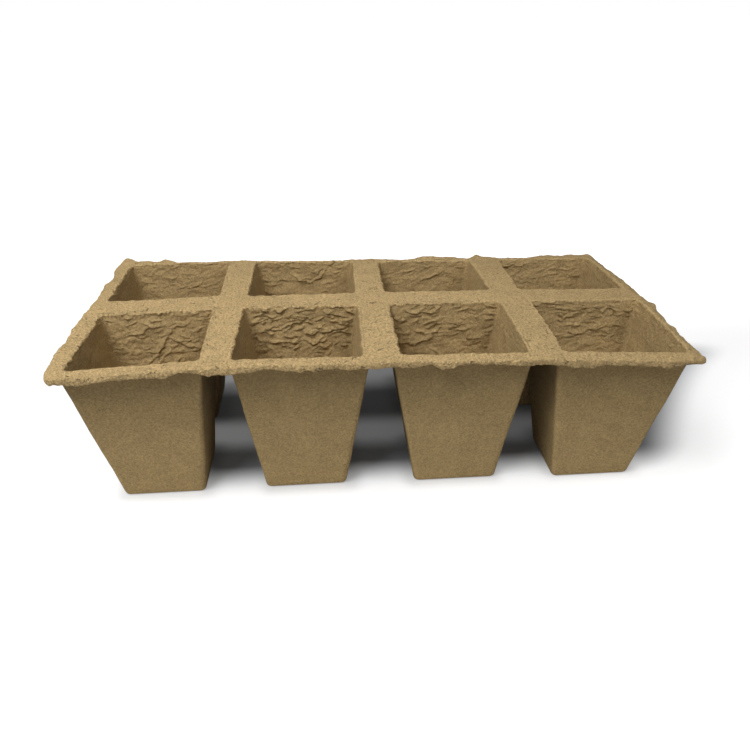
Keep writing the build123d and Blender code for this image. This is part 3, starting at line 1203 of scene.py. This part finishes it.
def floor_material(stage):
    """A plain pale floor that keeps the shadow and reads as white to the camera, with a painted shadow
    colour under the strip, a painted contact shadow round the feet and painted haze of light between and
    behind the rows.
    """
    material = bpy.data.materials.new("Pale floor")
    material.use_nodes = True
    tree = material.node_tree
    shader = tree.nodes["Principled BSDF"]
    place = add_node(tree, "ShaderNodeTexCoord").outputs["Object"]
    side = add_node(tree, "ShaderNodeSeparateXYZ", Vector=place)
    away = from_shade(tree, side, stage)
    far = spread(tree, away, 0.0, 1.0, 0.0, 1.0, "SMOOTHSTEP")
    open_floor = spread(tree, away, 0.8, 5.0, 0.0, 0.38, "SMOOTHSTEP")
    outside = total(tree, product(tree, far, 0.62), open_floor)
    # Painted light: a faint glow on the floor between the rows and behind them
    lit = calculate(tree, "MAXIMUM", outside, lane_haze(tree, side))
    # Painted contact shadow: the white glow is dimmed round each foot
    open_to_sky = spread(tree, from_foot(tree, place), -1 * MM, 10 * MM, 0.6, 1.0, "SMOOTHERSTEP")
    glow = product(tree, lit, open_to_sky, seen_straight(tree))
    # Painted shadow: the floor turns to the darker shade colour under the strip
    ground = blended(tree, far, stage.shade_colour, stage.floor_colour)
    tree.links.new(ground, shader.inputs["Base Color"])
    tree.links.new(glow, shader.inputs["Emission Strength"])
    shader.inputs["Emission Color"].default_value = (1.0, 1.0, 1.0, 1.0)
    shader.inputs["Roughness"].default_value = 0.9
    shader.inputs["Specular IOR Level"].default_value = 0.0

    # Seen from under the floor, the floor lets the view through to the strip
    backfacing = add_node(tree, "ShaderNodeNewGeometry").outputs["Backfacing"]
    camera_ray = add_node(tree, "ShaderNodeLightPath").outputs["Is Camera Ray"]
    clear = add_node(tree, "ShaderNodeBsdfTransparent").outputs["BSDF"]
    from_below = product(tree, backfacing, camera_ray)
    shown = add_node(tree, "ShaderNodeMixShader", _0=from_below, _1=shader.outputs["BSDF"], _2=clear)
    tree.links.new(shown.outputs["Shader"], tree.nodes["Material Output"].inputs["Surface"])
    return material


class PULP_OT_add_pot_row(bpy.types.Operator):
    """Model the pots of one row, each in the place of its node"""

    bl_idname = "pulp.add_pot_row"
    bl_label = "Add Row of Pots"

    row: IntProperty(name="Row", description="0 is the front row, 1 the back row", default=0, min=0, max=1)

    def execute(self, context):
        sizes = context.scene.pulp_sizes
        rings = section_rings(sizes)
        template = ring_tube(len(rings), sizes.loop_cuts)
        material = pulp_material()
        noise.seed_set(STRAY_SEED)
        for column in range(COLUMNS):
            make_pot(template, rings, pot_at(self.row, column), material)
        template.free()
        return {"FINISHED"}


class PULP_OT_add_stage(bpy.types.Operator):
    """Add the floor, the lamps, the sky and the camera"""

    bl_idname = "pulp.add_stage"
    bl_label = "Add Stage"

    def execute(self, context):
        stage = context.scene.pulp_stage
        add_floor(stage)
        add_lamps()
        add_sky()
        add_camera(stage)
        context.scene.view_settings.view_transform = "Standard"
        return {"FINISHED"}


# How far the floor reaches to each side, in metres
FLOOR_REACH = 8.0

# The soft lamps: their names, where they hang, their widths and their power in watts
Lamp = namedtuple("Lamp", "name place width power")
LAMPS = (
    Lamp("key_softbox", (-0.26, -0.26, 0.62), 0.34, 3.6),
    Lamp("fill_softbox", (0.45, -0.1, 0.75), 0.5, 1.0),
    Lamp("front_softbox", (-0.05, -0.95, 0.32), 0.4, 0.85),
)

# The place in the strip that the lamps point at
LAMP_TARGET = (0.0, 0.0, 0.03)


def add_floor(stage):
    """A large level floor under the strip."""
    bm = bmesh.new()
    bmesh.ops.create_grid(bm, x_segments=1, y_segments=1, size=FLOOR_REACH)
    mesh = bpy.data.meshes.new("studio_floor")
    bm.to_mesh(mesh)
    bm.free()
    floor = bpy.data.objects.new(mesh.name, mesh)
    bpy.context.scene.collection.objects.link(floor)
    mesh.materials.append(floor_material(stage))


def add_lamps():
    """A soft key lamp from above on the left, a weak fill from the right, and a low lamp in front."""
    for lamp in LAMPS:
        light = bpy.data.lights.new(lamp.name, "AREA")
        light.shape = "SQUARE"
        light.size = lamp.width
        light.energy = lamp.power
        holder = bpy.data.objects.new(light.name, light)
        bpy.context.scene.collection.objects.link(holder)
        turn = (Vector(LAMP_TARGET) - Vector(lamp.place)).to_track_quat("-Z", "Y")
        holder.matrix_world = Matrix.Translation(lamp.place) @ turn.to_matrix().to_4x4()


def add_sky():
    """A pale sky for the fill light, brighter overhead, and white to the camera."""
    world = bpy.data.worlds.new("Pale sky")
    bpy.context.scene.world = world
    world.use_nodes = True
    tree = world.node_tree
    background = tree.nodes["Background"]
    background.inputs["Color"].default_value = (1.0, 1.0, 1.0, 1.0)
    way = add_node(tree, "ShaderNodeTexCoord").outputs["Generated"]
    height = add_node(tree, "ShaderNodeSeparateXYZ", Vector=way).outputs["Z"]
    dome = spread(tree, height, 0.1, 0.9, 0.0, 0.24, "SMOOTHSTEP")
    tree.links.new(calculate(tree, "MAXIMUM", seen_straight(tree), dome), background.inputs["Strength"])


def add_camera(stage):
    """The camera, at the angle from which the strip was photographed."""
    data = bpy.data.cameras.new("strip_camera")
    data.sensor_fit = "HORIZONTAL"
    data.lens = data.sensor_width * stage.focal_share
    data.shift_y = stage.lift
    data.clip_start = 0.01
    camera = bpy.data.objects.new(data.name, data)
    bpy.context.scene.collection.objects.link(camera)
    turn = (
        Matrix.Rotation(stage.camera_yaw, 4, "Z")
        @ Matrix.Rotation(stage.camera_pitch, 4, "X")
        @ Matrix.Rotation(stage.camera_roll, 4, "Y")
        @ Matrix.Rotation(math.pi / 2, 4, "X")
    )
    camera.matrix_world = Matrix.Translation(stage.camera_place) @ turn
    bpy.context.scene.camera = camera


class PULP_PT_strip(bpy.types.Panel):
    """The strip's sizes, colours and pieces"""

    bl_idname = "PULP_PT_strip"
    bl_label = "Pulp Pots"
    bl_space_type = "VIEW_3D"
    bl_region_type = "UI"
    bl_category = "Pulp Pots"

    def draw(self, context):
        layout = self.layout
        for label, settings in (
            ("Sizes", context.scene.pulp_sizes),
            ("Relief", context.scene.pulp_relief),
            ("Colours", context.scene.pulp_colours),
            ("Stage", context.scene.pulp_stage),
        ):
            box = layout.box()
            box.label(text=label)
            for name in settings.__annotations__:
                box.prop(settings, name)
        for row, row_name in enumerate(ROWS):
            layout.operator("pulp.add_pot_row", text=f"Add {row_name} row").row = row
        layout.operator("pulp.add_stage")


CLASSES = (
    PulpSizes,
    PulpRelief,
    PulpColours,
    StageSettings,
    PULP_OT_add_pot_row,
    PULP_OT_add_stage,
    PULP_PT_strip,
)


def register():
    for cls in CLASSES:
        bpy.utils.register_class(cls)
    bpy.types.Scene.pulp_sizes = PointerProperty(type=PulpSizes)
    bpy.types.Scene.pulp_relief = PointerProperty(type=PulpRelief)
    bpy.types.Scene.pulp_colours = PointerProperty(type=PulpColours)
    bpy.types.Scene.pulp_stage = PointerProperty(type=StageSettings)


def unregister():
    del bpy.types.Scene.pulp_stage
    del bpy.types.Scene.pulp_colours
    del bpy.types.Scene.pulp_relief
    del bpy.types.Scene.pulp_sizes
    for cls in reversed(CLASSES):
        bpy.utils.unregister_class(cls)


def main():
    """Dress the strip and set its stage."""
    register()
    bpy.ops.pulp.add_pot_row(row=0)
    bpy.ops.pulp.add_pot_row(row=1)
    bpy.ops.pulp.add_stage()


if __name__ == "__main__":
    main()
